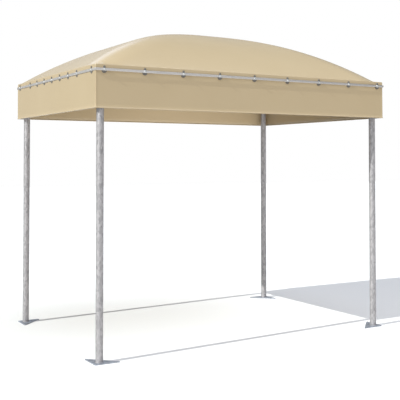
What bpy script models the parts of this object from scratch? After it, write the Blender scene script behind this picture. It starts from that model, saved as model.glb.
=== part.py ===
"""Dome gazebo, 3 m by 2 m, 2.8 m tall.

Four round posts on triangular base plates carry a frame of rectangular tube at the eaves.
Four hip arches rise from the post caps to a hub at the crown.
A cover of four vaulted panels lies over them, with a valance hanging on each side.
A flat clamp rail on each side holds the cover to the eaves frame with bolts on spacer discs.

Metres, +Z up, +X along the long side, +Y to the back.
The origin is on the ground, under the crown.
"""

import math

import bmesh
import bpy
from mathutils import Matrix

# Plan and heights of the cover's outer faces
HALF_LENGTH = 1.500
HALF_WIDTH = 1.000
CLEAR_HEIGHT = 2.010
EAVES_HEIGHT = 2.360
DOME_RISE = 0.456
DOME_POWER = 2.15
HIP_BLEND = 0.145

# Fabric and the gap that touching pieces keep
COVER_THICKNESS = 0.002
GAP = 0.0003

# Posts, their caps and their base plates
POST_RADIUS = 0.0603 / 2
POST_WALL = 0.0029
POST_SIDES = 32
POST_TOP = 2.310
CAP_THICKNESS = 0.005
PLATE_LEG = 0.220
PLATE_THICKNESS = 0.008
PLATE_EDGE = 0.060
PLATE_CORNER = 0.008
BOLT_HOLE_RADIUS = 0.006
BOLT_HOLE_EDGE = 0.022
BOLT_HOLE_FAR = 0.170
BOLT_HOLE_SIDES = 16

# Eaves frame of rectangular tube, on edge
BEAM_WIDTH = 0.040
BEAM_HEIGHT = 0.080
BEAM_WALL = 0.002

# Hip arches and the hub at the crown
ARCH_RADIUS = 0.0337 / 2
ARCH_WALL = 0.0026
ARCH_SIDES = 12
ARCH_STEPS = 12
ARCH_CLEAR = 0.0025
FOOT_BEND = 0.055
FOOT_STEPS = 4
SLOPE_STEP = 0.001
HALVINGS = 40
HUB_RADIUS = 0.1143 / 2
HUB_WALL = 0.005
HUB_HEIGHT = 0.045
HUB_DROP = 0.004
HUB_SIDES = 32

# Grid of each roof panel
PANEL_ROWS = 12
PANEL_COLUMNS = 8

# Clamp rails with their bolts
RAIL_HEIGHT = 0.021
RAIL_THICKNESS = 0.003
RAIL_STANDOFF = 0.0055
RAIL_LEVEL = 2.3175
DISC_RADIUS = 0.026
SHANK_RADIUS = 0.006
HEAD_RADIUS = 0.011
HEAD_EDGE = 0.0015
HEAD_HEIGHT = 0.004
HEAD_TOP_RADIUS = 0.006
SUNK = 0.0005
BOLT_SIDES = 12
LONG_PITCH = 0.3565
LONG_BOLTS = [step * LONG_PITCH for step in range(-4, 5)]
SHORT_PITCH = 0.202
SHORT_END_BOLT = 0.924
SHORT_BOLTS = [-SHORT_END_BOLT] + [step * SHORT_PITCH for step in range(-3, 4)] + [SHORT_END_BOLT]

# Faces that meet at less than these angles, in degrees, are shaded as one round surface
TUBE_SMOOTH = 40
FABRIC_SMOOTH = 30
MERGE_DISTANCE = 0.00001

# Places worked out from the sizes above
FRAME_INSET = COVER_THICKNESS + GAP
BEAM_TOP = EAVES_HEIGHT - COVER_THICKNESS - GAP
POST_INSET = FRAME_INSET + BEAM_WIDTH + GAP + POST_RADIUS
POST_X = HALF_LENGTH - POST_INSET
POST_Y = HALF_WIDTH - POST_INSET
CROWN_HEIGHT = EAVES_HEIGHT + DOME_RISE

CORNERS = {
    "front_left": (-1, -1),
    "front_right": (1, -1),
    "back_left": (-1, 1),
    "back_right": (1, 1),
}
# Each side with its turn about Z, its half length and its distance from the middle
SIDES = {
    "front": (0.0, HALF_LENGTH, HALF_WIDTH),
    "right": (math.pi / 2, HALF_WIDTH, HALF_LENGTH),
    "back": (math.pi, HALF_LENGTH, HALF_WIDTH),
    "left": (-math.pi / 2, HALF_WIDTH, HALF_LENGTH),
}


def remove_everything():
    for thing in list(bpy.data.objects):
        bpy.data.objects.remove(thing)


def principled(name, colour, metallic, roughness):
    material = bpy.data.materials.new(name)
    material.use_nodes = True
    shader = material.node_tree.nodes["Principled BSDF"]
    shader.inputs["Base Color"].default_value = (*colour, 1.0)
    shader.inputs["Metallic"].default_value = metallic
    shader.inputs["Roughness"].default_value = roughness
    material.diffuse_color = (*colour, 1.0)
    return material


def galvanised(name):
    return principled(name, (0.50, 0.51, 0.51), 0.7, 0.5)


def tarpaulin(name):
    return principled(name, (0.60, 0.50, 0.33), 0.0, 0.6)


def finish_object(name, shape, material, smooth_angle=None):
    """Turn a bmesh into a linked object with outward faces."""
    bmesh.ops.recalc_face_normals(shape, faces=shape.faces)
    mesh = bpy.data.meshes.new(name)
    shape.to_mesh(mesh)
    shape.free()
    if smooth_angle is not None:
        mesh.shade_smooth()
        mesh.set_sharp_from_angle(angle=math.radians(smooth_angle))
    piece = bpy.data.objects.new(name, mesh)
    piece.data.materials.append(material)
    bpy.context.collection.objects.link(piece)
    return piece


def turned(profile, sides):
    """Spin a profile of (radius, height) points about Z into a closed solid."""
    shape = bmesh.new()
    points = [shape.verts.new((radius, 0.0, height)) for radius, height in profile]
    for first, second in zip(points, points[1:]):
        shape.edges.new((first, second))
    on_axis = profile[0][0] == 0.0 and profile[-1][0] == 0.0
    if not on_axis:
        shape.edges.new((points[-1], points[0]))
    bmesh.ops.spin(
        shape,
        geom=shape.verts[:] + shape.edges[:],
        cent=(0.0, 0.0, 0.0),
        axis=(0.0, 0.0, 1.0),
        angle=math.tau,
        steps=sides,
        use_merge=False,
    )
    bmesh.ops.remove_doubles(shape, verts=shape.verts, dist=MERGE_DISTANCE)
    return shape


def cover_height(x, y):
    """Height of the cover's outer face: vaults ruled along the eaves, with softly rounded hips."""
    along = abs(x) / HALF_LENGTH
    across = abs(y) / HALF_WIDTH
    per_metre = math.hypot(1 / HALF_LENGTH, 1 / HALF_WIDTH)
    off_hip = abs(along - across) / per_metre
    if off_hip < HIP_BLEND:
        off_hip = (off_hip ** 2 + HIP_BLEND ** 2) / (2 * HIP_BLEND)
    share = (along + across + per_metre * off_hip) / 2
    return max(EAVES_HEIGHT, EAVES_HEIGHT + DOME_RISE * (1 - share ** DOME_POWER))


def build_posts():
    material = galvanised("post steel")
    profile = [
        (POST_RADIUS, POST_TOP),
        (POST_RADIUS, PLATE_THICKNESS + GAP),
        (POST_RADIUS - POST_WALL, PLATE_THICKNESS + GAP),
        (POST_RADIUS - POST_WALL, POST_TOP),
    ]
    for corner, (side_x, side_y) in CORNERS.items():
        post = finish_object(f"post_{corner}", turned(profile, POST_SIDES), material, TUBE_SMOOTH)
        post.location = (side_x * POST_X, side_y * POST_Y, 0.0)


def build_post_caps():
    material = galvanised("post cap steel")
    bottom = POST_TOP + GAP
    profile = [
        (0.0, bottom + CAP_THICKNESS),
        (POST_RADIUS, bottom + CAP_THICKNESS),
        (POST_RADIUS, bottom),
        (0.0, bottom),
    ]
    for corner, (side_x, side_y) in CORNERS.items():
        cap = finish_object(f"post_cap_{corner}", turned(profile, POST_SIDES), material, TUBE_SMOOTH)
        cap.location = (side_x * POST_X, side_y * POST_Y, 0.0)


def plate_outline():
    """Right-angled triangle with its right angle at the outer corner and cut tips."""
    near = -PLATE_EDGE
    far = PLATE_LEG - PLATE_EDGE
    return [
        (near + PLATE_CORNER, near),
        (far - PLATE_CORNER, near),
        (far - PLATE_CORNER, near + PLATE_CORNER),
        (near + PLATE_CORNER, far - PLATE_CORNER),
        (near, far - PLATE_CORNER),
        (near, near + PLATE_CORNER),
    ]


def hole_cutter(corner):
    """One mesh with the three bolt holes' cylinders, longer than the plate is thick."""
    near = BOLT_HOLE_EDGE - PLATE_EDGE
    far = BOLT_HOLE_FAR - PLATE_EDGE
    shape = bmesh.new()
    for x, y in ((near, near), (far, near), (near, far)):
        bmesh.ops.create_cone(
            shape,
            cap_ends=True,
            segments=BOLT_HOLE_SIDES,
            radius1=BOLT_HOLE_RADIUS,
            radius2=BOLT_HOLE_RADIUS,
            depth=3 * PLATE_THICKNESS,
            matrix=Matrix.Translation((x, y, PLATE_THICKNESS / 2)),
        )
    cutter = finish_object(f"bolt_hole_cutter_{corner}", shape, galvanised("cutter"))
    cutter.hide_render = True
    cutter.display_type = "WIRE"
    return cutter


def build_base_plates():
    """The plate of each corner is the same shape, turned so that its right angle points outwards."""
    material = galvanised("base plate steel")
    for corner, (side_x, side_y) in CORNERS.items():
        shape = bmesh.new()
        outline = [shape.verts.new((x, y, 0.0)) for x, y in plate_outline()]
        bottom = shape.faces.new(outline)
        raised = bmesh.ops.extrude_face_region(shape, geom=[bottom])
        top = [part for part in raised["geom"] if isinstance(part, bmesh.types.BMVert)]
        bmesh.ops.translate(shape, verts=top, vec=(0.0, 0.0, PLATE_THICKNESS))
        plate = finish_object(f"base_plate_{corner}", shape, material)
        cutter = hole_cutter(corner)
        turn = math.atan2(-side_y, -side_x) - math.pi / 4
        for piece in (plate, cutter):
            piece.location = (side_x * POST_X, side_y * POST_Y, 0.0)
            piece.rotation_euler.z = turn
        cut = plate.modifiers.new("bolt holes", "BOOLEAN")
        cut.operation = "DIFFERENCE"
        cut.solver = "EXACT"
        cut.object = cutter


def mitred_bar(name, side, loops, material):
    """A bar along one side with 45 degree mitres.

    Each loop lists (depth, height): depth is measured inwards from the cover's outer face.
    One loop gives a solid bar, and a second one inside it gives a tube.
    """
    turn, half_run, distance = SIDES[side]
    mitre_gap = GAP / math.sqrt(2)
    shape = bmesh.new()
    rings = []
    for end in (-1, 1):
        ring = []
        for loop in loops:
            ring.append([
                shape.verts.new((end * (half_run - depth - mitre_gap), depth - distance, height))
                for depth, height in loop
            ])
        rings.append(ring)
    for first, second in zip(*rings):
        count = len(first)
        for index in range(count):
            after = (index + 1) % count
            shape.faces.new((first[index], first[after], second[after], second[index]))
    for ring in rings:
        if len(ring) == 1:
            shape.faces.new(ring[0])
            continue
        outer, inner = ring
        for index in range(len(outer)):
            after = (index + 1) % len(outer)
            shape.faces.new((outer[index], outer[after], inner[after], inner[index]))
    bar = finish_object(name, shape, material)
    bar.rotation_euler.z = turn
    return bar


def rectangle(depth, width, bottom, height, inset=0.0):
    return [
        (depth + inset, bottom + inset),
        (depth + width - inset, bottom + inset),
        (depth + width - inset, bottom + height - inset),
        (depth + inset, bottom + height - inset),
    ]


def build_eaves_beams():
    material = galvanised("eaves beam steel")
    bottom = BEAM_TOP - BEAM_HEIGHT
    outside = rectangle(FRAME_INSET, BEAM_WIDTH, bottom, BEAM_HEIGHT)
    inside = rectangle(FRAME_INSET, BEAM_WIDTH, bottom, BEAM_HEIGHT, BEAM_WALL)
    for side in SIDES:
        mitred_bar(f"eaves_beam_{side}", side, [outside, inside], material)


def build_valances():
    material = tarpaulin("valance fabric")
    height = BEAM_TOP - CLEAR_HEIGHT
    sheet = rectangle(0.0, COVER_THICKNESS, CLEAR_HEIGHT, height)
    for side in SIDES:
        mitred_bar(f"valance_{side}", side, [sheet], material)


def panel_rows():
    """Shares of the way from the crown to the eaves, with one more row near the corner's flat."""
    rows = [row / PANEL_ROWS for row in range(1, PANEL_ROWS + 1)]
    return sorted(rows + [1 - HIP_BLEND / 4 / HALF_WIDTH])


def build_roof_panel(side, material):
    """One vault between two hips: a tip at the crown, then rows that widen to the eaves."""
    turn, half_run, distance = SIDES[side]
    spread = half_run / distance
    hip_angle = math.atan(spread)
    side_gap = GAP / 2 / math.cos(hip_angle)
    columns = [
        math.sin(math.pi / 2 * (2 * column / PANEL_COLUMNS - 1))
        for column in range(PANEL_COLUMNS + 1)
    ]
    shape = bmesh.new()

    def point(sideways, outwards, drop):
        x = sideways * math.cos(turn) + outwards * math.sin(turn)
        y = sideways * math.sin(turn) - outwards * math.cos(turn)
        return shape.verts.new((sideways, -outwards, cover_height(x, y) - drop))

    layers = []
    for drop in (0.0, COVER_THICKNESS):
        tip = point(0.0, side_gap / spread, drop)
        grid = []
        for share in panel_rows():
            outwards = share * distance
            edge = outwards * spread - side_gap
            grid.append([point(column * edge, outwards, drop) for column in columns])
        for left, right in zip(grid[0], grid[0][1:]):
            shape.faces.new((tip, left, right))
        for row, after in zip(grid, grid[1:]):
            for index in range(PANEL_COLUMNS):
                shape.faces.new((row[index], after[index], after[index + 1], row[index + 1]))
        rim = [tip] + [row[0] for row in grid] + grid[-1][1:] + [row[-1] for row in grid[-2::-1]]
        layers.append(rim)
    upper, lower = layers
    for index in range(len(upper)):
        after = (index + 1) % len(upper)
        shape.faces.new((upper[index], upper[after], lower[after], lower[index]))
    panel = finish_object(f"roof_panel_{side}", shape, material, FABRIC_SMOOTH)
    panel.rotation_euler.z = turn


def build_roof_panels():
    material = tarpaulin("roof fabric")
    for side in SIDES:
        build_roof_panel(side, material)


def arch_point(reach):
    """Centre line of an arch, as (way in from the post's axis, height, slope), under the cover."""
    run = math.hypot(POST_X, POST_Y)

    def height(way):
        left = 1 - way / run
        return cover_height(POST_X * left, POST_Y * left) - COVER_THICKNESS

    rise = height(reach + SLOPE_STEP) - height(reach - SLOPE_STEP)
    slope = math.atan(rise / (2 * SLOPE_STEP))
    drop = ARCH_RADIUS + ARCH_CLEAR
    return reach + drop * math.sin(slope), height(reach) - drop * math.cos(slope), slope


def arch_path():
    """Points of the centre line, from the cap straight up, through the bend and on to the hub."""
    run = math.hypot(POST_X, POST_Y)
    low = 0.0
    high = 2 * FOOT_BEND
    for _ in range(HALVINGS):
        middle = (low + high) / 2
        way, _, slope = arch_point(middle)
        if way < FOOT_BEND * (1 - math.sin(slope)):
            low = middle
        else:
            high = middle
    way, height, slope = arch_point(low)
    bend_start = height - FOOT_BEND * math.cos(slope)
    foot = POST_TOP + CAP_THICKNESS + 2 * GAP
    path = [(0.0, foot, math.pi / 2)]
    for step in range(FOOT_STEPS):
        turned_by = (math.pi / 2 - slope) * step / FOOT_STEPS
        path.append((
            FOOT_BEND * (1 - math.cos(turned_by)),
            bend_start + FOOT_BEND * math.sin(turned_by),
            math.pi / 2 - turned_by,
        ))
    last = run - HUB_RADIUS - GAP
    for step in range(ARCH_STEPS + 1):
        path.append(arch_point(low + (last - low) * step / ARCH_STEPS))
    return path


def cope(x, y, heading, radius):
    """How far along the heading a plan point is moved to lie on a circle about the middle."""
    along = x * heading[0] + y * heading[1]
    return -along - math.sqrt(along ** 2 - (x * x + y * y - radius ** 2))


def build_hip_arches():
    """A tube swept along the arch's path, its upper end coped to the round hub."""
    material = galvanised("arch steel")
    run = math.hypot(POST_X, POST_Y)
    for corner, (side_x, side_y) in CORNERS.items():
        heading = (-side_x * POST_X / run, -side_y * POST_Y / run)
        sideways = (-heading[1], heading[0])
        shape = bmesh.new()
        path = arch_path()
        walls = []
        for radius in (ARCH_RADIUS, ARCH_RADIUS - ARCH_WALL):
            rings = []
            for way, height, slope in path:
                ring = []
                for index in range(ARCH_SIDES):
                    angle = math.tau * (index + 0.5) / ARCH_SIDES
                    aside = radius * math.cos(angle)
                    above = radius * math.sin(angle)
                    forward = way - above * math.sin(slope)
                    x = side_x * POST_X + heading[0] * forward + sideways[0] * aside
                    y = side_y * POST_Y + heading[1] * forward + sideways[1] * aside
                    z = height + above * math.cos(slope)
                    if way == path[-1][0]:
                        shift = cope(x, y, heading, HUB_RADIUS + GAP)
                        x += heading[0] * shift
                        y += heading[1] * shift
                        z += shift * math.tan(slope)
                    ring.append(shape.verts.new((x, y, z)))
                rings.append(ring)
            walls.append(rings)
        for rings in walls:
            for first, second in zip(rings, rings[1:]):
                for index in range(ARCH_SIDES):
                    after = (index + 1) % ARCH_SIDES
                    shape.faces.new((first[index], first[after], second[after], second[index]))
        for outer, inner in ((walls[0][0], walls[1][0]), (walls[0][-1], walls[1][-1])):
            for index in range(ARCH_SIDES):
                after = (index + 1) % ARCH_SIDES
                shape.faces.new((outer[index], outer[after], inner[after], inner[index]))
        finish_object(f"hip_arch_{corner}", shape, material, TUBE_SMOOTH)


def build_crown_hub():
    """A short tube with a closed top, open below."""
    top = CROWN_HEIGHT - COVER_THICKNESS - HUB_DROP
    profile = [
        (0.0, top),
        (HUB_RADIUS, top),
        (HUB_RADIUS, top - HUB_HEIGHT),
        (HUB_RADIUS - HUB_WALL, top - HUB_HEIGHT),
        (HUB_RADIUS - HUB_WALL, top - HUB_WALL),
        (0.0, top - HUB_WALL),
    ]
    finish_object("crown_hub", turned(profile, HUB_SIDES), galvanised("hub steel"), TUBE_SMOOTH)


def fastener_profile():
    """Spacer disc, shank and bolt head as one turned shape, standing on the valance."""
    back = GAP
    disc = RAIL_STANDOFF + SUNK
    head = RAIL_STANDOFF + RAIL_THICKNESS - SUNK
    front = head + SUNK
    return [
        (0.0, front + HEAD_HEIGHT),
        (HEAD_TOP_RADIUS, front + HEAD_HEIGHT),
        (HEAD_RADIUS, front + HEAD_EDGE),
        (HEAD_RADIUS, head),
        (SHANK_RADIUS, head),
        (SHANK_RADIUS, disc),
        (DISC_RADIUS, disc),
        (DISC_RADIUS, back),
        (0.0, back),
    ]


def build_clamp_rails():
    """A flat bar on each side, joined with the bolts and spacer discs that carry it."""
    material = galvanised("clamp rail steel")
    for side, (turn, half_run, distance) in SIDES.items():
        is_long = half_run == HALF_LENGTH
        reach = RAIL_STANDOFF + RAIL_THICKNESS if is_long else RAIL_STANDOFF - GAP
        bar = bmesh.new()
        bmesh.ops.create_cube(bar, size=1.0)
        bmesh.ops.scale(bar, verts=bar.verts, vec=(2 * (half_run + reach), RAIL_THICKNESS, RAIL_HEIGHT))
        middle = -distance - RAIL_STANDOFF - RAIL_THICKNESS / 2
        bmesh.ops.translate(bar, verts=bar.verts, vec=(0.0, middle, RAIL_LEVEL))
        rail = finish_object(f"clamp_rail_{side}", bar, material)

        bolts = bmesh.new()
        for place in (LONG_BOLTS if is_long else SHORT_BOLTS):
            bolt = turned(fastener_profile(), BOLT_SIDES)
            bmesh.ops.transform(
                bolt,
                verts=bolt.verts,
                matrix=Matrix.Translation((place, -distance, RAIL_LEVEL))
                @ Matrix.Rotation(math.pi / 2, 4, "X"),
            )
            piece = bpy.data.meshes.new("bolt")
            bolt.to_mesh(piece)
            bolt.free()
            bolts.from_mesh(piece)
            bpy.data.meshes.remove(piece)
        set_of_bolts = finish_object(f"bolts_{side}", bolts, material)
        set_of_bolts.hide_render = True
        set_of_bolts.display_type = "WIRE"
        for piece in (rail, set_of_bolts):
            piece.rotation_euler.z = turn
        join = rail.modifiers.new("bolts", "BOOLEAN")
        join.operation = "UNION"
        join.solver = "EXACT"
        join.object = set_of_bolts


remove_everything()
build_base_plates()
build_posts()
build_post_caps()
build_eaves_beams()
build_hip_arches()
build_crown_hub()
build_roof_panels()
build_valances()
build_clamp_rails()
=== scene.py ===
# %% [markdown]
# # Dressing a dome gazebo
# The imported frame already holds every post, beam and panel of the gazebo at its real size.
# This lesson gives them their looks: galvanised steel that has been dipped whole in zinc, a coated
# tarpaulin stretched over four arches, and the flat bar with its bolts that holds the cloth down.
# Everything is in metres, with +X along the long side, +Y to the back and the ground at zero.

# %% Load the frame
import math

import bmesh
import bpy
import numpy as np
from mathutils import Matrix, Vector


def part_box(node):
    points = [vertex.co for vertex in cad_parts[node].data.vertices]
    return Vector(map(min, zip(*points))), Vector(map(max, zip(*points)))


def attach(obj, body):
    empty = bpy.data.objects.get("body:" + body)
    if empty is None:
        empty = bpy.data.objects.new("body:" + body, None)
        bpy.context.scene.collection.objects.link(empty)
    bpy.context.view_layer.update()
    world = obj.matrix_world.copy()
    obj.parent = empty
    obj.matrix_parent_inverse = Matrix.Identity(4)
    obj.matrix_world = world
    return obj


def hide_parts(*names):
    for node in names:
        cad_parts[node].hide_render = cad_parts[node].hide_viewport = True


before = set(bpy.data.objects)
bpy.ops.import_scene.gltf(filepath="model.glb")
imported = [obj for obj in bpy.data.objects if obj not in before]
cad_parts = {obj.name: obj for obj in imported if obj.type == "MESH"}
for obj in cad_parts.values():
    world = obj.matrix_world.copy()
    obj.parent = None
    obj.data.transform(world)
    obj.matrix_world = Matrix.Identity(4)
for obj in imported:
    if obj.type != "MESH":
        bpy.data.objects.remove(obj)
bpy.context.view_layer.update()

print("nodes in the frame:", len(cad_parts))

# %% [markdown]
# ## Camera
# The photograph was taken from standing height, to the left of the gazebo's front, with a long
# lens. A camera could be aimed with a constraint, but a photograph with upright posts needs a
# nearly level camera whose picture is shifted, as with an architect's lens. So its place and turn
# are given as numbers.

# %% Place the camera
CAMERA_PLACE = (-3.917, -6.809, 1.593)
CAMERA_TURN = 30.09
CAMERA_RISE = 1.685
CAMERA_LENS = 71.76
CAMERA_SENSOR = 36.0
CAMERA_SHIFT = -0.156

scene = bpy.context.scene
camera_data = bpy.data.cameras.new("standing height camera")
camera_data.sensor_width = CAMERA_SENSOR
camera_data.lens = CAMERA_LENS
camera_data.shift_y = CAMERA_SHIFT
camera = bpy.data.objects.new("standing height camera", camera_data)
camera.location = CAMERA_PLACE
camera.rotation_euler = (math.radians(90 + CAMERA_RISE), 0.0, math.radians(-CAMERA_TURN))
scene.collection.objects.link(camera)
scene.camera = camera
scene.view_settings.view_transform = "Standard"
print("camera at", CAMERA_PLACE)

# %% [markdown]
# ## Helpers for materials and light
# Colours are given as sRGB hex codes, as a screen shows them, but Cycles adds up light, which is
# linear. One function turns the first into the second.
# Node trees are easier to read when a node, its settings and its links stand in one call, so a
# second small function adds any node: a value that is a socket is linked, any other value is set.
# Every finish below starts with the place on the object and ends in the inputs of one shader, so
# both ends have a helper too.

# %% Colour and node helpers
# A Mix node that blends colours has its two colours and its result at these places
MIX_A = 6
MIX_B = 7
MIX_RESULT = 2


def linear(code):
    """Linear RGBA from an sRGB hex code such as #CBB897."""
    channels = [int(code[place:place + 2], 16) / 255 for place in (1, 3, 5)]
    return tuple(
        value / 12.92 if value <= 0.04045 else ((value + 0.055) / 1.055) ** 2.4
        for value in channels
    ) + (1.0,)


def set_inputs(tree, node, inputs):
    """Link or set a node's inputs, each given by its socket's name or number."""
    for key, value in inputs.items():
        if isinstance(value, bpy.types.NodeSocket):
            tree.links.new(value, node.inputs[key])
        else:
            node.inputs[key].default_value = value


def add_node(tree, kind, inputs, **settings):
    """One node with its settings and its inputs."""
    node = tree.nodes.new(kind)
    for name, value in settings.items():
        setattr(node, name, value)
    set_inputs(tree, node, inputs)
    return node


def start_material(name):
    """A new material, its node tree and the place on the object as a socket."""
    material = bpy.data.materials.new(name)
    material.use_nodes = True
    tree = material.node_tree
    return material, tree, add_node(tree, "ShaderNodeTexCoord", {}).outputs["Object"]


def finish_material(tree, inputs):
    """Give the shader of a material its inputs."""
    set_inputs(tree, tree.nodes["Principled BSDF"], inputs)


# %% [markdown]
# ## Studio light
# A low sun from the left gives the short side its bright face and every post its bright band.
# The rest is a soft room round the gazebo: a pale wall in front, ground that the sun lights there,
# a softbox above the roof, a small one behind that draws the highlight along the hips, and dim
# walls at the back and on the right. It could be made of area lamps, but soft patches in the world
# are smoother and cast no hard edges. Each patch is one direction and how fast it fades away from
# that direction. The camera itself sees plain white behind the gazebo, as on a picture cut out for
# a catalogue.

# %% Sun
SUN_TRAVEL = Vector((1.55, 0.135, -1.0))
SUN_STRENGTH = 3.38
SUN_COLOUR = "#FDFFFA"
SUN_ANGLE = 0.3

sun_data = bpy.data.lights.new("low sun", "SUN")
sun_data.energy = SUN_STRENGTH
sun_data.color = linear(SUN_COLOUR)[:3]
sun_data.angle = math.radians(SUN_ANGLE)
sun = bpy.data.objects.new("low sun", sun_data)
sun.rotation_euler = SUN_TRAVEL.to_track_quat("-Z", "Y").to_euler()
scene.collection.objects.link(sun)
print("sun's strength:", SUN_STRENGTH)

# %% Soft room
ROOM_COLOUR = "#F4FAFF"
ROOM_STRENGTH = 0.135
# Direction, colour, strength, and the cosines between which the patch fades in
SOFT_PATCHES = {
    "wall in front": (Vector((-0.80, -0.60, 0.06)), "#FAFCFF", 0.94, 0.68, 0.96),
    "lit ground in front": (Vector((0.30, -0.77, -0.57)), "#FFF9EC", 1.04, 0.55, 0.95),
    "softbox above": (Vector((0.22, -0.37, 0.90)), "#EEF4FF", 2.47, 0.80, 0.98),
    "softbox behind": (Vector((0.21, 0.83, 0.52)), "#D6E4FF", 1.08, 0.98, 0.996),
    "backdrop": (Vector((0.18, 0.96, 0.22)), "#FFFFFF", 0.26, 0.60, 0.95),
    "wall on the right": (Vector((0.97, 0.20, 0.12)), "#DDE8FF", 0.45, 0.80, 0.98),
}


def light_colour(code, strength):
    """Linear RGBA of a light: its colour times its strength."""
    return [channel * strength for channel in linear(code)[:3]] + [1.0]


world = bpy.data.worlds.new("soft room")
world.use_nodes = True
scene.world = world
room = world.node_tree
room.nodes.clear()
direction = add_node(room, "ShaderNodeTexCoord", {}).outputs["Generated"]
light = light_colour(ROOM_COLOUR, ROOM_STRENGTH)
for patch, (aim, colour, strength, fade_from, fade_to) in SOFT_PATCHES.items():
    facing = add_node(room, "ShaderNodeVectorMath", {
        0: direction, 1: aim.normalized(),
    }, operation="DOT_PRODUCT", label=patch)
    share = add_node(room, "ShaderNodeMapRange", {
        "Value": facing.outputs["Value"], "From Min": fade_from, "From Max": fade_to,
    }, interpolation_type="SMOOTHSTEP")
    light = add_node(room, "ShaderNodeMix", {
        0: share.outputs["Result"], MIX_A: light, MIX_B: light_colour(colour, strength),
    }, data_type="RGBA", blend_type="ADD", clamp_result=False).outputs[MIX_RESULT]
room_light = add_node(room, "ShaderNodeBackground", {"Color": light})
cut_out = add_node(room, "ShaderNodeBackground", {"Color": linear("#FFFFFF")})
seen = add_node(room, "ShaderNodeLightPath", {}).outputs["Is Camera Ray"]
shown = add_node(room, "ShaderNodeMixShader", {
    0: seen, 1: room_light.outputs[0], 2: cut_out.outputs[0],
})
add_node(room, "ShaderNodeOutputWorld", {"Surface": shown.outputs[0]})
print("soft patches:", len(SOFT_PATCHES))

# %% [markdown]
# The underside of a roof stays dark in a studio unless something throws light up to it. A
# photographer would stand a white reflector between the posts, so a wide, weak area lamp is placed
# there, low over the ground. Its spread is narrow enough that it lights the inside of the back
# valance and leaves the inside of the right one in shade.

# %% Reflector between the posts
REFLECTOR_PLACE = Vector((0.3, -0.7, 0.35))
REFLECTOR_AIM = Vector((0.3, 1.0, 2.2))
REFLECTOR_SIZE = (1.5, 0.7)
REFLECTOR_POWER = 5.8
REFLECTOR_SPREAD = 76.0
REFLECTOR_COLOUR = "#F2F6FF"

reflector_data = bpy.data.lights.new("reflector", "AREA")
reflector_data.shape = "RECTANGLE"
reflector_data.size, reflector_data.size_y = REFLECTOR_SIZE
reflector_data.energy = REFLECTOR_POWER
reflector_data.spread = math.radians(REFLECTOR_SPREAD)
reflector_data.color = linear(REFLECTOR_COLOUR)[:3]
reflector = bpy.data.objects.new("reflector", reflector_data)
reflector.location = REFLECTOR_PLACE
reflector.rotation_euler = (REFLECTOR_AIM - REFLECTOR_PLACE).to_track_quat("-Z", "Y").to_euler()
reflector.visible_camera = False
reflector.visible_glossy = False
scene.collection.objects.link(reflector)
print("reflector's power:", REFLECTOR_POWER, "W")

# %% [markdown]
# ## Floor
# The floor only shows where the feet stand and which way the shadows fall. A pale floor this wide
# would throw so much light up that the inside of the cover lost its shade, so diffuse light passes
# it, and so does the light from the patch of lit ground, which lies below the horizon. A weak glow
# lifts the shadows to the pale grey of a floor in a bright room.

# %% Pale floor
FLOOR_HALF = 40.0
FLOOR_COLOUR = "#FCFBFA"
FLOOR_ROUGHNESS = 0.9
FLOOR_GLOW = 0.04

floor_paint = bpy.data.materials.new("pale floor paint")
floor_paint.use_nodes = True
finish_material(floor_paint.node_tree, {
    "Base Color": linear(FLOOR_COLOUR), "Roughness": FLOOR_ROUGHNESS, "Specular IOR Level": 0.0,
    "Emission Color": linear(FLOOR_COLOUR), "Emission Strength": FLOOR_GLOW,
})
floor_mesh = bpy.data.meshes.new("floor")
floor_mesh.from_pydata(
    [(x * FLOOR_HALF, y * FLOOR_HALF, 0.0) for x, y in ((-1, -1), (1, -1), (1, 1), (-1, 1))],
    [], [(0, 1, 2, 3)],
)
floor_mesh.materials.append(floor_paint)
floor = bpy.data.objects.new("floor", floor_mesh)
floor.visible_diffuse = False
floor.visible_shadow = False
scene.collection.objects.link(floor)
print("floor:", 2 * FLOOR_HALF, "m square")

# %% [markdown]
# ## Hot-dip galvanised steel
# Posts, plates, beams and arches are mild steel that was welded and then dipped in molten zinc.
# The zinc freezes in crystals a centimetre or so wide, the spangle, and turns dull outdoors.
# To the eye that is a grey between metal and chalk, mottled in soft upright streaks where the zinc
# ran off. Real crystals are cells with one tilt each, so Voronoi cells give each its own grey and
# gloss, and a wide noise gives the clouds between bright and weathered patches. The base plates are
# thicker than the tube walls and cool more slowly, so their crystals are larger. In the photo they
# are a bluer grey than the posts too, so they have a coat of their own.

# %% Galvanised steel
SPANGLE_SIZE = 0.013
SPANGLE_STRETCH = 0.45
DIPPED_GREYS = ("#8A898B", "#BDBABC")
PLATE_SPANGLE = 0.018
PLATE_GREYS = ("#858A94", "#B8BDC8")
CLOUD_SIZE = 0.09
CLOUD_DETAIL = 5.0
CLOUD_ROUGHNESS = 0.6
# The sum of a cell's grey and the clouds lies between these two nearly everywhere
MOTTLE_LOW = 0.25
MOTTLE_HIGH = 1.35
CELL_GLOSS = 0.08
DENT_STRENGTH = 0.12
DENT_HEIGHT = 0.001
ZINC_METALLIC = 0.6


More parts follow.
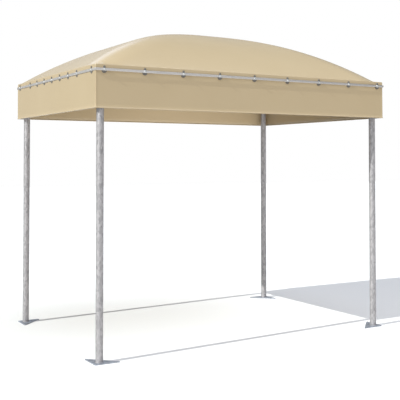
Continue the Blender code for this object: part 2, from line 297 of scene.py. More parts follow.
def zinc_coat(name, spangle, greys, contrast, roughness):
    """Zinc with crystals of one size; contrast is how much of the way between its greys it uses."""
    material, tree, place = start_material(name)
    run_off = add_node(tree, "ShaderNodeMapping", {
        "Vector": place, "Scale": (1.0, 1.0, SPANGLE_STRETCH),
    }).outputs["Vector"]
    crystals = add_node(tree, "ShaderNodeTexVoronoi", {"Vector": run_off, "Scale": 1 / spangle})
    clouds = add_node(tree, "ShaderNodeTexNoise", {
        "Vector": run_off, "Scale": 1 / CLOUD_SIZE,
        "Detail": CLOUD_DETAIL, "Roughness": CLOUD_ROUGHNESS,
    })
    cell = add_node(tree, "ShaderNodeSeparateColor", {"Color": crystals.outputs["Color"]})
    mottle = add_node(tree, "ShaderNodeMath", {
        0: cell.outputs["Red"], 1: clouds.outputs["Fac"],
    }, operation="ADD").outputs["Value"]
    tone = add_node(tree, "ShaderNodeMapRange", {
        "Value": mottle, "From Min": MOTTLE_LOW, "From Max": MOTTLE_HIGH,
        "To Min": 0.5 - contrast / 2, "To Max": 0.5 + contrast / 2,
    }).outputs["Result"]
    colour = add_node(tree, "ShaderNodeMix", {
        0: tone, MIX_A: linear(greys[0]), MIX_B: linear(greys[1]),
    }, data_type="RGBA").outputs[MIX_RESULT]
    gloss = add_node(tree, "ShaderNodeMapRange", {
        "Value": cell.outputs["Green"],
        "To Min": roughness - CELL_GLOSS, "To Max": roughness + CELL_GLOSS,
    }).outputs["Result"]
    dents = add_node(tree, "ShaderNodeBump", {
        "Height": mottle, "Strength": DENT_STRENGTH, "Distance": DENT_HEIGHT,
    }).outputs["Normal"]
    finish_material(tree, {
        "Base Color": colour, "Roughness": gloss, "Normal": dents, "Metallic": ZINC_METALLIC,
    })
    return material


dipped_steel = zinc_coat(
    "hot-dip galvanised steel", SPANGLE_SIZE, DIPPED_GREYS, contrast=0.8, roughness=0.55,
)
dipped_plate = zinc_coat(
    "hot-dip galvanised plate", PLATE_SPANGLE, PLATE_GREYS, contrast=0.8, roughness=0.5,
)
print("dipped coats:", dipped_steel.name, "and", dipped_plate.name)

# %% [markdown]
# ## Zinc-coated flat bar
# The clamp bar comes from a mill that zinc-coats long strip in a fast line. Its crystals are only
# a few millimetres wide, so the bar reads as one even satin grey, a little lighter than the posts.

# %% Flat bar zinc
BAR_SPANGLE = 0.004
BAR_GREYS = ("#BEBBB9", "#CECAC8")

strip_zinc = zinc_coat(
    "zinc-coated strip", BAR_SPANGLE, BAR_GREYS, contrast=0.5, roughness=0.5,
)
print("bar's coat:", strip_zinc.name)

# %% [markdown]
# ## Moulded rubber
# A spacer pad lies between bar and cloth at each bolt, so that the bar doesn't chafe the coating.
# Moulded rubber is matt, has a fine grain from the mould, and fades outdoors from black to grey.
# One noise serves both: it tints the skin and raises its grain.

# %% Rubber
RUBBER_GRAIN = 0.0012
RUBBER_DETAIL = 2.0
RUBBER_GREYS = ("#686460", "#7C7873")
RUBBER_ROUGHNESS = 0.65
SKIN_STRENGTH = 0.3
SKIN_HEIGHT = 0.0002

pad_rubber, tree, place = start_material("moulded rubber")
grain = add_node(tree, "ShaderNodeTexNoise", {
    "Vector": place, "Scale": 1 / RUBBER_GRAIN, "Detail": RUBBER_DETAIL,
}).outputs["Fac"]
worn = add_node(tree, "ShaderNodeMix", {
    0: grain, MIX_A: linear(RUBBER_GREYS[0]), MIX_B: linear(RUBBER_GREYS[1]),
}, data_type="RGBA").outputs[MIX_RESULT]
skin = add_node(tree, "ShaderNodeBump", {
    "Height": grain, "Strength": SKIN_STRENGTH, "Distance": SKIN_HEIGHT,
}).outputs["Normal"]
finish_material(tree, {"Base Color": worn, "Roughness": RUBBER_ROUGHNESS, "Normal": skin})
print("rubber:", pad_rubber.name)

# %% [markdown]
# ## Zinc-plated bolts
# The bolt heads are electro-plated with zinc a few thousandths of a millimetre thick. It has no
# crystals that an eye can see and stays smooth, but it soon dulls to a satin shine, in patches some
# millimetres wide.

# %% Plated bolts
BLOOM_SIZE = 0.006
BLOOM_DETAIL = 3.0
BOLT_GREYS = ("#C4C6C8", "#DADBDA")
BOLT_ROUGHNESS = (0.34, 0.48)

plated_bolt, tree, place = start_material("zinc-plated bolt steel")
bloom = add_node(tree, "ShaderNodeTexNoise", {
    "Vector": place, "Scale": 1 / BLOOM_SIZE, "Detail": BLOOM_DETAIL,
}).outputs["Fac"]
plating = add_node(tree, "ShaderNodeMix", {
    0: bloom, MIX_A: linear(BOLT_GREYS[0]), MIX_B: linear(BOLT_GREYS[1]),
}, data_type="RGBA").outputs[MIX_RESULT]
polish = add_node(tree, "ShaderNodeMapRange", {
    "Value": bloom, "To Min": BOLT_ROUGHNESS[0], "To Max": BOLT_ROUGHNESS[1],
}).outputs["Result"]
finish_material(tree, {"Base Color": plating, "Roughness": polish, "Metallic": 1.0})
print("bolts:", plated_bolt.name)

# %% [markdown]
# ## Coated tarpaulin
# The cover is polyester cloth with a soft vinyl coat on both faces, about 650 g per square metre.
# The coat is rolled on hot, so it fills the weave and leaves a smooth satin skin in which the
# threads, a couple of millimetres apart, only just show. That is far too fine for a picture of the
# whole gazebo, so the threads only get a very low bump, and what shows from far away is a slow
# unevenness of tone and gloss, some decimetres wide.
# The cloth's own coordinates come from a UV map in metres, so that the threads follow the cut.

# %% Tarpaulin
THREAD_SPACING = 0.0024
THREAD_WAVER = 0.6
THREAD_DETAIL = 1.0
# A Wave texture at scale 1 has this many bands in tau metres
WAVE_BANDS = 20
WEAVE_STRENGTH = 0.06
WEAVE_HEIGHT = 0.0003
CLOTH_SHADES = ("#C5B18F", "#CBB897")
CLOTH_ROUGHNESS = (0.225, 0.262)
SHADE_SIZE = 0.5
SHADE_DETAIL = 4.0
SHADE_ROUGHNESS = 0.55
CUT_MAP = "cut in metres"

coated_tarpaulin, tree, place = start_material("coated polyester tarpaulin")
cut = add_node(tree, "ShaderNodeUVMap", {}, uv_map=CUT_MAP).outputs["UV"]
threads = [
    add_node(tree, "ShaderNodeTexWave", {
        "Vector": cut, "Scale": math.tau / WAVE_BANDS / THREAD_SPACING,
        "Distortion": THREAD_WAVER, "Detail": THREAD_DETAIL,
    }, bands_direction=way).outputs["Fac"]
    for way in ("X", "Y")
]
weave = add_node(tree, "ShaderNodeMath", {
    0: threads[0], 1: threads[1],
}, operation="MAXIMUM").outputs["Value"]
drift = add_node(tree, "ShaderNodeTexNoise", {
    "Vector": place, "Scale": 1 / SHADE_SIZE,
    "Detail": SHADE_DETAIL, "Roughness": SHADE_ROUGHNESS,
}).outputs["Fac"]
tone = add_node(tree, "ShaderNodeMix", {
    0: drift, MIX_A: linear(CLOTH_SHADES[0]), MIX_B: linear(CLOTH_SHADES[1]),
}, data_type="RGBA").outputs[MIX_RESULT]
satin = add_node(tree, "ShaderNodeMapRange", {
    "Value": drift, "To Min": CLOTH_ROUGHNESS[0], "To Max": CLOTH_ROUGHNESS[1],
}).outputs["Result"]
relief = add_node(tree, "ShaderNodeBump", {
    "Height": weave, "Strength": WEAVE_STRENGTH, "Distance": WEAVE_HEIGHT,
}).outputs["Normal"]
finish_material(tree, {"Base Color": tone, "Roughness": satin, "Normal": relief})
print("materials:", len(bpy.data.materials))

# %% [markdown]
# ## From shape to piece
# Most pieces below are built as a bmesh and then turned into an object that rides on the gazebo's
# one body. That function also gives the piece its material and hides the solid of the frame that it
# stands for, if there is one.

# %% Piece helpers
UP = Vector((0.0, 0.0, 1.0))


def mesh_from(shape, name):
    """Turn a bmesh into a mesh and free it."""
    mesh = bpy.data.meshes.new(name)
    shape.to_mesh(mesh)
    shape.free()
    return mesh


def add_piece(name, shape, material, smooth_angle, replaces=()):
    """Turn a bmesh into an object that rides on the root body."""
    mesh = mesh_from(shape, name)
    mesh.shade_smooth()
    mesh.set_sharp_from_angle(angle=math.radians(smooth_angle))
    mesh.materials.append(material)
    piece = bpy.data.objects.new(name, mesh)
    scene.collection.objects.link(piece)
    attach(piece, "root")
    if replaces:
        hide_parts(*replaces)


def round_edges(shape, edges, offset):
    """Take the sharpness off edges, as rolling and moulding do."""
    bmesh.ops.bevel(shape, geom=edges, offset=offset, segments=2, profile=0.5, affect="EDGES")


def bridge(shape, first, second):
    """Quads between two closed rings with the same number of points."""
    count = len(first)
    for index in range(count):
        after = (index + 1) % count
        shape.faces.new((first[index], first[after], second[after], second[index]))


def sweep(shape, centres, radii, sides, upright, closed=False):
    """Add a round tube along the centres to a bmesh; upright fixes where its rings start."""
    count = len(centres)
    rings = []
    for index, (centre, radius) in enumerate(zip(centres, radii)):
        before = centres[(index - 1) % count] if closed or index else centre
        after = centres[(index + 1) % count] if closed or index < count - 1 else centre
        ahead = (after - before).normalized()
        aside = ahead.cross(upright).normalized()
        above = aside.cross(ahead)
        rings.append([
            shape.verts.new(
                centre
                + aside * radius * math.cos(math.tau * side / sides)
                + above * radius * math.sin(math.tau * side / sides)
            )
            for side in range(sides)
        ])
    for first, second in zip(rings, rings[1:]):
        bridge(shape, first, second)
    if closed:
        bridge(shape, rings[-1], rings[0])
    else:
        shape.faces.new(rings[0])
        shape.faces.new(rings[-1])
    bmesh.ops.recalc_face_normals(shape, faces=shape.faces)


# %% [markdown]
# ## Sizes read from the frame
# Nothing here is measured twice: the cover's plan, its hem and its crown come from the boxes of the
# nodes, and only the two numbers that shape the vaults are written out.

# %% Sizes of the cover
DOME_POWER = 2.15
HIP_BLEND = 0.145


def box_of(node):
    """Lowest and highest corner of a node's box."""
    low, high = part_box(node)
    return Vector(low), Vector(high)


front_low, front_high = box_of("valance_front")
panel_low, panel_high = box_of("roof_panel_front")
skin_thickness = front_high.y - front_low.y
half_length = box_of("valance_right")[1].x
half_width = -front_low.y
hem_height = front_low.z
eaves_height = panel_low.z + skin_thickness
dome_rise = panel_high.z - eaves_height
share_per_metre = math.hypot(1 / half_length, 1 / half_width)
print(f"plan {2 * half_length:.3f} x {2 * half_width:.3f}, hem {hem_height:.3f}, "
      f"eaves {eaves_height:.3f}, rise {dome_rise:.3f}")


def plan_shares(x, y):
    """Shares of the way out to the eaves, along and across, and the distance from the hip line."""
    along = abs(x) / half_length
    across = abs(y) / half_width
    return along, across, abs(along - across) / share_per_metre


def vault_height(x, y):
    """Height of the cloth's outer face: vaults ruled along the eaves, with softly rounded hips."""
    along, across, off_hip = plan_shares(x, y)
    if off_hip < HIP_BLEND:
        off_hip = (off_hip ** 2 + HIP_BLEND ** 2) / (2 * HIP_BLEND)
    share = (along + across + share_per_metre * off_hip) / 2
    return max(eaves_height, eaves_height + dome_rise * (1 - share ** DOME_POWER))


# %% [markdown]
# ## The cover's outline
# The cover is one sewn and welded skin: a dome, a crisp fold at the eaves, a straight valance with
# rounded upright corners and a rolled welt along its lower edge. Separate flat panels would show
# gaps at the hips, so the skin is made of rings that run round the whole gazebo, from the crown
# down to the hem. All rings have the same number of points, so they join into one sheet of quads.
# The points crowd towards the corners, where the hips bend sharply, and spread out between them.

# %% Points round one ring
CORNER_RADIUS = 0.005
CORNER_ARC_STEPS = 6
FINEST_STEP = 0.003
WIDEST_STEP = 0.055
STEP_GROWTH = 0.2


def steps_from_corner(run):
    """Distances from a corner to the middle of a side, growing from fine to wide steps."""
    steps = [CORNER_RADIUS]
    while steps[-1] < run:
        steps.append(steps[-1] + min(WIDEST_STEP, max(FINEST_STEP, STEP_GROWTH * steps[-1])))
    stretch = (run - CORNER_RADIUS) / (steps[-1] - CORNER_RADIUS)
    return [CORNER_RADIUS + (step - CORNER_RADIUS) * stretch for step in steps]


def ring_outline():
    """Points of the eaves as (x, y, outward x, outward y), anticlockwise from the right side."""
    quarter = [
        (half_length, half_width - step, 1.0, 0.0)
        for step in reversed(steps_from_corner(half_width))
    ]
    for step in range(1, CORNER_ARC_STEPS):
        angle = math.pi / 2 * step / CORNER_ARC_STEPS
        quarter.append((
            half_length - CORNER_RADIUS * (1 - math.cos(angle)),
            half_width - CORNER_RADIUS * (1 - math.sin(angle)),
            math.cos(angle), math.sin(angle),
        ))
    quarter += [
        (half_length - step, half_width, 0.0, 1.0) for step in steps_from_corner(half_length)
    ]
    ring = []
    for side_x, side_y in ((1, 1), (-1, 1), (-1, -1), (1, -1)):
        points = quarter if side_x == side_y else quarter[::-1]
        ring += [
            (side_x * x, side_y * y, side_x * out_x, side_y * out_y)
            for x, y, out_x, out_y in points[:-1]
        ]
    return ring


outline = ring_outline()
print("points in a ring:", len(outline))

# %% [markdown]
# ## Slack in the cloth
# A sheet of plastic would lie in a perfect vault. Cloth is pulled hard over the arches, but between
# them it is never quite even: it rises and sinks by a millimetre over half a metre or so. That is
# added to the height of the vaults, and fades out over the arches and at the eaves, where the cloth
# lies on steel.

# %% Slack between the arches
SLACK_HEIGHT = 0.0012
SLACK_LENGTHS = (0.83, 0.61)
SLACK_PHASES = (0.7, 0.4)
# The slack grows between these distances from a hip, and fades between these shares of the way out
SLACK_OFF_HIP = (0.02, 0.25)
SLACK_NEAR_EAVES = (0.8, 1.0)


def fade(value, start, end):
    """Smooth step from 0 at start to 1 at end."""
    share = min(1.0, max(0.0, (value - start) / (end - start)))
    return share * share * (3 - 2 * share)


def skin_height(x, y):
    """Height of the vault with its slack."""
    along, across, off_hip = plan_shares(x, y)
    slack = math.sin(math.tau * x / SLACK_LENGTHS[0] + SLACK_PHASES[0])
    slack *= math.cos(math.tau * y / SLACK_LENGTHS[1] + SLACK_PHASES[1])
    near_eaves = fade(max(along, across), *SLACK_NEAR_EAVES)
    slack *= SLACK_HEIGHT * fade(off_hip, *SLACK_OFF_HIP) * (1 - near_eaves)
    return vault_height(x, y) + slack


# %% [markdown]
# ## Rings from the crown to the hem
# A ring of the dome is the eaves outline made smaller, lifted onto the vault. At the eaves a short
# curve through the sharp edge turns the cloth from the slope into the upright valance. The valance
# hangs almost flat, with a slow wave of about a millimetre. Its four lengths are welded together
# at the corners, where the doubled cloth stands out by a millimetre. The lower edge is rolled round
# a cord, which makes the welt.

# %% Lay out the rings
DOME_RINGS = 38
EDGE_SHARES = (0.955, 0.97, 0.982, 0.99, 0.996)
FOLD_DROP = 0.005
FOLD_STEPS = 4
VALANCE_RINGS = 14
WAVE_DEPTH = 0.0010
WAVE_LENGTH = 0.9
WAVE_DROP = 0.09
WAVE_SHIFT = 3
SEAM_STAND = 0.0012
SEAM_WIDTH = 0.018
SEAM_DROP = 0.03
WELT_RADIUS = 0.0048
WELT_STAND = 0.003
# The flat cloth ends this many radii above the hem and meets the welt there
WELT_NECK = 2.2
# Degrees at which the welt starts, and through which it turns
WELT_START = 50
WELT_TURN = 230
WELT_STEPS = 9


def dome_ring(share):
    """One ring of the dome: the outline made smaller and lifted onto the vault."""
    return [
        Vector((share * x, share * y, skin_height(share * x, share * y)))
        for x, y, _, _ in outline
    ]


def wall_ring(outward, height):
    """One ring of the valance: outward moves it off the wall's plane, and it waves near the hem."""
    hang = fade(height, eaves_height - WAVE_DROP, hem_height)
    seam = SEAM_STAND * fade(height, eaves_height, eaves_height - SEAM_DROP)
    ring = []
    for x, y, out_x, out_y in outline:
        run = x if abs(out_y) > abs(out_x) else y
        # The outward direction gives each side its own phase
        phase = math.tau * run / WAVE_LENGTH + WAVE_SHIFT * out_x + out_y
        wave = WAVE_DEPTH * hang * math.sin(phase)
        off_corner = max(half_length - abs(x), half_width - abs(y)) - CORNER_RADIUS
        reach = outward + wave + seam * (1 - fade(off_corner, 0.0, SEAM_WIDTH))
        ring.append(Vector((x + out_x * reach, y + out_y * reach, height)))
    return ring


def cover_rings():
    """All rings of the cover's outer face, from the crown down and round the welt."""
    rings = [dome_ring(step / DOME_RINGS * EDGE_SHARES[0]) for step in range(1, DOME_RINGS)]
    rings += [dome_ring(share) for share in EDGE_SHARES]
    wall_top = eaves_height - FOLD_DROP
    fold = list(zip(rings[-1], wall_ring(0.0, eaves_height), wall_ring(0.0, wall_top)))
    for step in range(1, FOLD_STEPS):
        way = step / FOLD_STEPS
        rings.append([
            top * (1 - way) ** 2 + corner * 2 * way * (1 - way) + low * way ** 2
            for top, corner, low in fold
        ])
    wall_end = hem_height + WELT_NECK * WELT_RADIUS
    for step in range(VALANCE_RINGS + 1):
        rings.append(wall_ring(0.0, wall_top + (wall_end - wall_top) * step / VALANCE_RINGS))
    for step in range(WELT_STEPS + 1):
        angle = math.radians(WELT_START - WELT_TURN * step / WELT_STEPS)
        rings.append(wall_ring(
            WELT_STAND - WELT_RADIUS + WELT_RADIUS * math.cos(angle),
            hem_height + WELT_RADIUS + WELT_RADIUS * math.sin(angle),
        ))
    return rings


skin_rings = cover_rings()
print("rings:", len(skin_rings), "quads:", len(skin_rings) * len(outline))

# %% [markdown]
# ## One sheet of cloth
# The rings become one mesh with a single point at the crown. Each quad also gets its place in the
# cut cloth, in metres: sideways along the eaves, and downwards along the cloth itself. The Solidify
# modifier then gives the skin the thickness of the tarpaulin, inwards, so that the outer face
# stays where it is.

# %% Build the cover
CLOTH_THICKNESS = 0.0008


def lengths_down(crown, index):
    """Lengths along the cloth from the crown to each ring, down one column of points."""
    column = [crown] + [ring[index] for ring in skin_rings]
    lengths = [0.0]
    for last, point in zip(column, column[1:]):
        lengths.append(lengths[-1] + (point - last).length)
    return lengths


def cover_faces(count):
    """Triangles round the crown and quads between the rings, as numbers of points."""
    faces = [(0, 1 + index, 1 + (index + 1) % count) for index in range(count)]
    for level in range(len(skin_rings) - 1):
        start = 1 + level * count
        for index in range(count):
            after = (index + 1) % count
            faces.append((
                start + index, start + count + index, start + count + after, start + after,
            ))
    return faces


def build_cover():
    """The cover, its area, and its flat length and width from hem to hem."""
    count = len(outline)
    crown = Vector((0.0, 0.0, skin_height(0.0, 0.0)))
    points = [crown] + [point for ring in skin_rings for point in ring]
    mesh = bpy.data.meshes.new("cover")
    mesh.from_pydata([tuple(point) for point in points], [], cover_faces(count))
    mesh.update()
    mesh.materials.append(coated_tarpaulin)
    mesh.shade_smooth()

    front_middle = min(range(count), key=lambda index: (abs(outline[index][0]), outline[index][1]))
    over_front = lengths_down(crown, front_middle)
    over_right = lengths_down(crown, 0)
    cut_map = mesh.uv_layers.new(name=CUT_MAP)
    for face in mesh.polygons:
        is_long = abs(face.center.x) / half_length < abs(face.center.y) / half_width
        for loop in face.loop_indices:
            vertex = mesh.loops[loop].vertex_index
            level = (vertex - 1) // count + 1 if vertex else 0
            point = mesh.vertices[vertex].co
            cut_map.data[loop].uv = (
                (point.x, over_front[level]) if is_long else (point.y, over_right[level])
            )
    cloth_area = sum(face.area for face in mesh.polygons)

    cover = bpy.data.objects.new("cover", mesh)
    scene.collection.objects.link(cover)
    thick = cover.modifiers.new("cloth thickness", "SOLIDIFY")
    thick.thickness = CLOTH_THICKNESS
    thick.offset = -1.0
    return cover, cloth_area, 2 * over_right[-1], 2 * over_front[-1]


cover, cloth_area, cut_length, cut_width = build_cover()
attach(cover, "root")
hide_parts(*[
    f"{kind}_{side}"
    for kind in ("roof_panel", "valance") for side in ("front", "back", "left", "right")
])
print(f"cloth {cloth_area:.2f} square metres, spread out {cut_length:.2f} by {cut_width:.2f} m")

# %% [markdown]
# ## Clamp rails
# A flat bar runs round the outside of the valance just below the eaves and presses the cloth to
# the beams. Box edges would be too sharp for rolled bar, so they are bevelled. The bars on the long
# sides stand further off the cloth than the others, and are long enough to cover their ends.

# %% Flat bars
RAIL_LEVEL = 2.3175
RAIL_HEIGHT = 0.021
RAIL_THICKNESS = 0.0025
LONG_STANDOFF = 0.0083
SHORT_STANDOFF = 0.0030
RAIL_EDGE = 0.0007
BUTT_GAP = 0.0003

# Turn from the front, half the side's length, and the distance of its cloth from the middle
SIDES = {
    "front": (0.0, half_length, half_width),
    "right": (math.pi / 2, half_width, half_length),
    "back": (math.pi, half_length, half_width),
    "left": (-math.pi / 2, half_width, half_length),
}
LONG_SIDES = ("front", "back")
STANDOFFS = {side: LONG_STANDOFF if side in LONG_SIDES else SHORT_STANDOFF for side in SIDES}


def build_rail(side):
    """A flat bar with rounded edges along one side."""
    turn, half_run, distance = SIDES[side]
    reach = SHORT_STANDOFF + RAIL_THICKNESS if side in LONG_SIDES else LONG_STANDOFF - BUTT_GAP
    middle = -distance - STANDOFFS[side] - RAIL_THICKNESS / 2
    shape = bmesh.new()
    bmesh.ops.create_cube(shape, size=1.0)
    size = (2 * (half_run + reach), RAIL_THICKNESS, RAIL_HEIGHT)
    bmesh.ops.scale(shape, verts=shape.verts, vec=size)
    round_edges(shape, shape.edges[:], RAIL_EDGE)
    bmesh.ops.translate(shape, verts=shape.verts, vec=(0.0, middle, RAIL_LEVEL))
    bmesh.ops.rotate(shape, verts=shape.verts, matrix=Matrix.Rotation(turn, 3, "Z"))
    add_piece(f"clamp_bar_{side}", shape, strip_zinc, 60.0, [f"clamp_rail_{side}"])


for side in SIDES:
    build_rail(side)
print("rails stand off the cloth:", STANDOFFS)

# %% [markdown]
# ## Spacer pads
# Behind the bar, at each bolt, sits a moulded pad shaped like a keyhole: a round foot, most of
# which shows below the bar, and a narrow tongue with a lip that hooks over the bar's upper edge.
# The outline is two arcs. It is drawn twice, at the cloth and at the bar, and walls join the two
# rings. The lip is a smaller ring that stands on the upper arc. So the pad is one closed solid, as
# thick as the bar's distance from the cloth: thick on the long sides and thin on the short ones.
# Extrusions could raise it too, but they number its faces in another order on each run.

# %% Keyhole pad
PAD_RADIUS = 0.0215
PAD_DROP = 0.0085
TONGUE_HALF = 0.0078
TONGUE_TOP = 0.0295
LIP_FOOT = 0.0110
LIP_HEIGHT = 0.0035
PAD_EDGE = 0.0008
PAD_FOOT_STEPS = 26
PAD_TOP_STEPS = 8
# Edges sharper than this, and this far from the pad's back, are rounded
PAD_CREASE = 60
PAD_BACK = 0.001


def arc(height, radius, start, turn, steps):
    """Points (x, z) clockwise round an arc whose centre lies at a height over the bolt."""
    angles = [start - turn * step / steps for step in range(steps + 1)]
    return [(radius * math.cos(angle), height + radius * math.sin(angle)) for angle in angles]


def pad_mesh(standoff):
    """A pad that lies on its back in the XZ plane, its front towards -Y, at the bolt's centre."""
    opening = math.asin(TONGUE_HALF / PAD_RADIUS)
    foot = arc(-PAD_DROP, PAD_RADIUS, math.pi / 2 - opening, math.tau - 2 * opening, PAD_FOOT_STEPS)
    foot = [(TONGUE_HALF, LIP_FOOT)] + foot + [(-TONGUE_HALF, LIP_FOOT)]
    top = arc(TONGUE_TOP - TONGUE_HALF, TONGUE_HALF, math.pi, math.pi, PAD_TOP_STEPS)
    shape = bmesh.new()
    back, front = [
        [shape.verts.new((x, -depth, z)) for x, z in foot + top] for depth in (0.0, standoff)
    ]
    bridge(shape, back, front)
    # The lip stands on the top's points and on the two where the foot meets it
    left = len(foot) - 1
    tongue = front[left:] + front[:1]
    lip = [shape.verts.new((vert.co.x, -standoff - LIP_HEIGHT, vert.co.z)) for vert in tongue]
    bridge(shape, tongue, lip)
    for ring in (back[:left + 1], back[left:] + back[:1], front[:left + 1], lip):
        shape.faces.new(ring)
    bmesh.ops.recalc_face_normals(shape, faces=shape.faces)
    front_edges = [
        edge for edge in shape.edges
        if edge.calc_face_angle(0.0) > math.radians(PAD_CREASE)
        and all(vert.co.y < -PAD_BACK for vert in edge.verts)
    ]
    round_edges(shape, front_edges, PAD_EDGE)
    return mesh_from(shape, "pad")


# %% [markdown]
# ## Button-head bolts
# Through bar and pad goes a 10 mm button-head screw with a hexagon socket, on a flat washer. Its
# head ends 17.5 mm off the cloth of a long side. The grazing sun draws its shadow out, down and to
# the right, into a short streak below the band of the bar's shadow, as at each bolt in the photo.
# The head is a turned shape, apart from the socket: there the radius follows the distance from the
# middle of a hexagon to its flats, so the same rings of points can form it.

# %% Button head and washer
# Radius and height of each ring, for the washer from the bar and for the head from the washer
WASHER_PROFILE = ((0.0108, 0.0), (0.0110, 0.0003), (0.0110, 0.0010), (0.0107, 0.0012))
HEAD_PROFILE = (
    (0.0086, 0.0), (0.0088, 0.0012), (0.0083, 0.0034), (0.0064, 0.0049), (0.0040, 0.0055),
)
SOCKET_FLAT = 0.0030
SOCKET_DEPTH = 0.0018
HEAD_SIDES = 24


def turned_ring(shape, radius, height):
    """A round ring of points at a height in front of the bar."""
    angles = [math.tau * side / HEAD_SIDES for side in range(HEAD_SIDES)]
    return [
        shape.verts.new((radius * math.cos(angle), -height, radius * math.sin(angle)))
        for angle in angles
    ]


def socket_ring(shape, flat, height):
    """A ring of points on a hexagon; flat is the distance from its middle to a side."""
    ring = []
    for side in range(HEAD_SIDES):
        angle = math.tau * side / HEAD_SIDES
        off_flat = (angle + math.pi / 6) % (math.pi / 3) - math.pi / 6
        reach = flat / math.cos(off_flat)
        ring.append(shape.verts.new((reach * math.cos(angle), -height, reach * math.sin(angle))))
    return ring


def bolt_mesh():
    """Washer and head, turned about Y, standing on the bar's front face towards -Y."""
    washer_top = WASHER_PROFILE[-1][1]
    head_top = washer_top + HEAD_PROFILE[-1][1]
    shape = bmesh.new()
    rings = [turned_ring(shape, radius, height) for radius, height in WASHER_PROFILE]
    rings += [turned_ring(shape, radius, washer_top + height) for radius, height in HEAD_PROFILE]
    rings += [socket_ring(shape, SOCKET_FLAT, head_top - depth) for depth in (0.0, SOCKET_DEPTH)]
    for first, second in zip(rings, rings[1:]):
        bridge(shape, first, second)
    shape.faces.new(rings[0])
    shape.faces.new(rings[-1])
    bmesh.ops.recalc_face_normals(shape, faces=shape.faces)
    return mesh_from(shape, "bolt")


# %% [markdown]
# ## A row of fasteners on each side
# The long sides have nine bolts one pitch apart. The short sides have seven at a closer pitch and
# one more near each corner. The pads of a side are joined into one piece, and so are its bolts.

# %% Set the fasteners
LONG_PITCH = 0.3565
SHORT_PITCH = 0.202
SHORT_END = 0.924
LONG_BOLTS = [step * LONG_PITCH for step in range(-4, 5)]
SHORT_BOLTS = [-SHORT_END] + [step * SHORT_PITCH for step in range(-3, 4)] + [SHORT_END]


def row_of(mesh, side, depth):
    """Copies of a mesh at the bolts of one side, depth outside the cloth."""
    turn, _, distance = SIDES[side]
    shape = bmesh.new()
    for along in (LONG_BOLTS if side in LONG_SIDES else SHORT_BOLTS):
        start = len(shape.verts)
        shape.from_mesh(mesh)
        shape.verts.ensure_lookup_table()
        bolt_place = Matrix.Translation((along, -distance - depth, RAIL_LEVEL))
        bmesh.ops.transform(
            shape, verts=shape.verts[start:], matrix=Matrix.Rotation(turn, 4, "Z") @ bolt_place,
        )
    return shape


bolt = bolt_mesh()
for side, standoff in STANDOFFS.items():
    pads = row_of(pad_mesh(standoff), side, 0.0)
    heads = row_of(bolt, side, standoff + RAIL_THICKNESS)
    add_piece(f"spacer_pads_{side}", pads, pad_rubber, 50.0)
    add_piece(f"bolt_heads_{side}", heads, plated_bolt, 40.0)
print("fasteners:", 2 * len(LONG_BOLTS) + 2 * len(SHORT_BOLTS))

# %% [markdown]
# ## Hip arches
# The arches are tubes bent in a roller, so they should look perfectly round and smooth. The CAD
# solids have few sides and steps, which is right for a solid, so finer tubes are swept along the
# same line and stand for them.

# %% Round arches
ARCH_RADIUS = 0.0337 / 2
ARCH_CLEAR = 0.0025
FOOT_BEND = 0.055
ARCH_SIDES = 28
ARCH_STEPS = 48
FOOT_STEPS = 10
SLOPE_STEP = 0.001
HALVINGS = 40
HUB_OVERLAP = 0.001
CORNERS = {
    "front_left": (-1, -1), "front_right": (1, -1), "back_left": (-1, 1), "back_right": (1, 1),
}

post_low, post_high = box_of("post_front_right")
post_x, post_y = [abs(value) for value in ((post_low + post_high) / 2).xy]
post_radius = (post_high.x - post_low.x) / 2
post_feet = {
    corner: Vector((side_x * post_x, side_y * post_y, 0.0))
    for corner, (side_x, side_y) in CORNERS.items()
}
diagonal = math.hypot(post_x, post_y)
cap_top = box_of("post_cap_front_right")[1].z
hub_radius = box_of("crown_hub")[1].x


def arch_point(reach):
    """Centre line as (way in from the post's axis, height, slope), under the cover."""
    def height(way):
        left = 1 - way / diagonal
        return vault_height(post_x * left, post_y * left) - skin_thickness

    rise = height(reach + SLOPE_STEP) - height(reach - SLOPE_STEP)
    slope = math.atan(rise / (2 * SLOPE_STEP))
    drop = ARCH_RADIUS + ARCH_CLEAR
    return reach + drop * math.sin(slope), height(reach) - drop * math.cos(slope), slope


def arch_line():
    """(way in, height) from the cap straight up, through the foot's bend and on to the hub."""
    # Halving finds where the bend, which starts over the post's axis, touches the arch
    low, high = 0.0, 2 * FOOT_BEND
    for _ in range(HALVINGS):
        middle = (low + high) / 2
        way, _, slope = arch_point(middle)
        low, high = (middle, high) if way < FOOT_BEND * (1 - math.sin(slope)) else (low, middle)
    way, height, slope = arch_point(low)
    bend_start = height - FOOT_BEND * math.cos(slope)
    line = [(0.0, cap_top)]
    for step in range(FOOT_STEPS):
        turned = (math.pi / 2 - slope) * step / FOOT_STEPS
        line.append((FOOT_BEND * (1 - math.cos(turned)), bend_start + FOOT_BEND * math.sin(turned)))
    last = diagonal - hub_radius + HUB_OVERLAP
    line += [
        arch_point(low + (last - low) * step / ARCH_STEPS)[:2] for step in range(ARCH_STEPS + 1)
    ]
    return line


arch = arch_line()
for corner, foot in post_feet.items():
    inward = -foot / diagonal
    centres = [foot + inward * way + UP * height for way, height in arch]
    shape = bmesh.new()
    sweep(shape, centres, [ARCH_RADIUS] * len(centres), ARCH_SIDES, inward.cross(UP))
    add_piece(
        f"arch_tube_{corner}", shape, dipped_steel, 50.0,
        [f"hip_arch_{corner}"],
    )
print("points along an arch:", len(arch))

# %% [markdown]
# ## Eaves beams
# Rectangular tube has rounded edges, because it is rolled from strip: the outer radius is about
# twice the wall. The beams are mitred at the corners. Each is swept from one end to the other as
# two loops, outside and inside, with the mitre in the length of every edge.

# %% Rounded rectangular tube
BEAM_WALL = 0.002
BEAM_EDGE = 0.004
EDGE_STEPS = 4

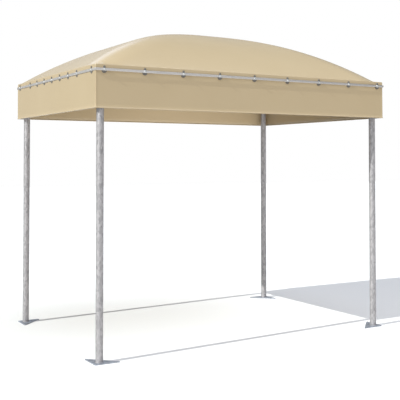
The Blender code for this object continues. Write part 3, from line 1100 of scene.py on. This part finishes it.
beam_low, beam_high = box_of("eaves_beam_front")
beam_width = beam_high.y - beam_low.y
beam_depth = beam_low.y + half_width


def rounded_loop(inset):
    """(depth from the cloth, height) round the tube's section, inset from its outer face."""
    radius = BEAM_EDGE - inset
    near = beam_depth + inset + radius
    far = beam_depth + beam_width - inset - radius
    low = beam_low.z + inset + radius
    high = beam_high.z - inset - radius
    loop = []
    corners = ((far, low, -90), (far, high, 0), (near, high, 90), (near, low, 180))
    for depth, height, start in corners:
        for step in range(EDGE_STEPS + 1):
            angle = math.radians(start + 90 * step / EDGE_STEPS)
            loop.append((depth + radius * math.cos(angle), height + radius * math.sin(angle)))
    return loop


def build_beam(side):
    """A mitred rectangular tube along one side."""
    turn, half_run, distance = SIDES[side]
    shape = bmesh.new()
    outside, inside = [
        [
            [
                shape.verts.new((end * (half_run - depth - BUTT_GAP), depth - distance, height))
                for depth, height in rounded_loop(inset)
            ]
            for end in (-1, 1)
        ]
        for inset in (0.0, BEAM_WALL)
    ]
    bridge(shape, *outside)
    bridge(shape, *inside)
    for outer_end, inner_end in zip(outside, inside):
        bridge(shape, outer_end, inner_end)
    bmesh.ops.recalc_face_normals(shape, faces=shape.faces)
    bmesh.ops.rotate(shape, verts=shape.verts, matrix=Matrix.Rotation(turn, 3, "Z"))
    add_piece(
        f"beam_tube_{side}", shape, dipped_steel, 30.0, [f"eaves_beam_{side}"],
    )


for side in SIDES:
    build_beam(side)
print(f"beams {beam_width:.3f} wide and {beam_high.z - beam_low.z:.3f} high")

# %% [markdown]
# ## Weld beads
# Before the dip, a welder joins each post to its plate and each arch to its cap. A bead is a row of
# overlapping puddles, so it is a thin tube whose radius swells and shrinks a little every few
# millimetres, half sunk into both pieces.

# %% Beads
BEAD_RADIUS = 0.0035
BEAD_SIDES = 8
BEAD_OFFSET = 0.0005
PUDDLE = 0.004
PUDDLE_STEPS = 4
RIPPLE = 0.10


def ring_bead(shape, centre, radius):
    """A closed bead of puddles round a tube that stands on a flat face."""
    count = round(math.tau * radius / PUDDLE) * PUDDLE_STEPS
    centres = []
    radii = []
    for index in range(count):
        angle = math.tau * index / count
        centres.append(centre + Vector((math.cos(angle), math.sin(angle), 0.0)) * radius)
        radii.append(BEAD_RADIUS * (1 + RIPPLE * math.sin(math.tau * index / PUDDLE_STEPS)))
    sweep(shape, centres, radii, BEAD_SIDES, UP, closed=True)


plate_top = box_of("base_plate_front_right")[1].z
for corner, foot in post_feet.items():
    shape = bmesh.new()
    ring_bead(shape, foot + UP * plate_top, post_radius + BEAD_OFFSET)
    ring_bead(shape, foot + UP * cap_top, ARCH_RADIUS + BEAD_OFFSET)
    add_piece(f"weld_beads_{corner}", shape, dipped_steel, 80.0)
print("weld beads:", 2 * len(post_feet))

# %% [markdown]
# ## Finish of the frame's own pieces
# Posts, caps, plates and the hub keep their CAD shape and only take a galvanised finish: the plates
# the coat with the larger crystals, and the others the coat of the tubes.

# %% Dress the CAD nodes
for name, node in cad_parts.items():
    if name.startswith(("post", "base_plate", "crown_hub")):
        for place in node.material_slots:
            place.material = dipped_plate if name.startswith("base_plate") else dipped_steel
